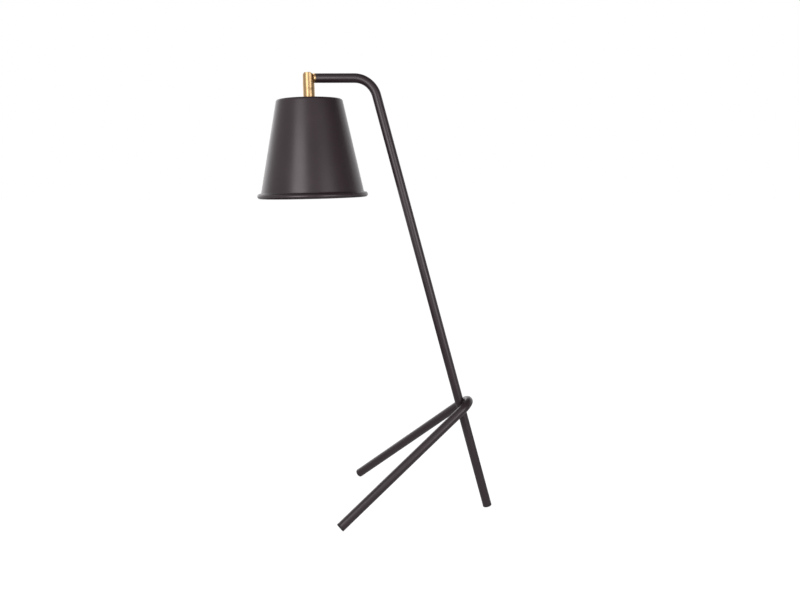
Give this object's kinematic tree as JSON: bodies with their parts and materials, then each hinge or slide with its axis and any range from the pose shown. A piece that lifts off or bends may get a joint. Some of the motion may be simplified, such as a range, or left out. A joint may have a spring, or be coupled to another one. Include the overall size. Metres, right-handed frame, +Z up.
{
  "type": "tripod table lamp",
  "caption": "Table lamp: a leaning tube pole bent over into a level arm, a hairpin tube as its other legs, and a cone shade that tilts on a brass swivel.",
  "frame": {"origin": "on the table, at the middle of the flat under the pole's foot", "axes": "+Z up; -X from the pole's foot towards the hairpin's feet and the shade; +Y to the far side of the lamp as the picture shows it; the pole and arm lie in the plane y = 0"},
  "size_m": [0.3362, 0.2154, 0.6154],
  "materials": {
    "powder_coat_steel": "matte",
    "powder_coat_aluminium": "matte",
    "foot_plastic": "matte",
    "grommet_rubber": "matte",
    "cable_sheath": "satin",
    "satin_brass": "satin",
    "shell_brass": "satin",
    "zinc_steel": "satin",
    "holder_plastic": "satin",
    "contact_ceramic": "matte"
  },
  "bodies": {
    "stand": {"pole": "powder_coat_steel", "leg_hairpin": "powder_coat_steel", "weld_bead": "powder_coat_steel", "pole_foot_cap": "foot_plastic", "near_foot_cap": "foot_plastic", "far_foot_cap": "foot_plastic", "cable_grommet": "grommet_rubber", "pole_lead": "cable_sheath", "arm_end_bush": "zinc_steel", "swivel_arm_half": "satin_brass", "friction_washer": "zinc_steel"},
    "head": {"swivel_shade_half": "satin_brass", "swivel_screw": "zinc_steel", "spring_washer": "zinc_steel", "barrel_coupler": "satin_brass", "threaded_nipple": "zinc_steel", "shade": "powder_coat_aluminium", "shade_washer": "zinc_steel", "lock_nut": "zinc_steel", "lampholder_cap": "holder_plastic", "cap_lock_screw": "zinc_steel", "lampholder_body": "holder_plastic", "contact_block": "contact_ceramic", "screw_shell": "shell_brass", "centre_contact": "shell_brass", "terminal_screws": "zinc_steel", "head_lead": "cable_sheath"}
  },
  "joints": [
    {"name": "shade_tilt", "type": "hinge", "parent": "stand", "child": "head", "pos_m": [-0.253, 0, 0.608], "axis": [0, 1, 0], "range_deg": [-3, 90]}
  ]
}
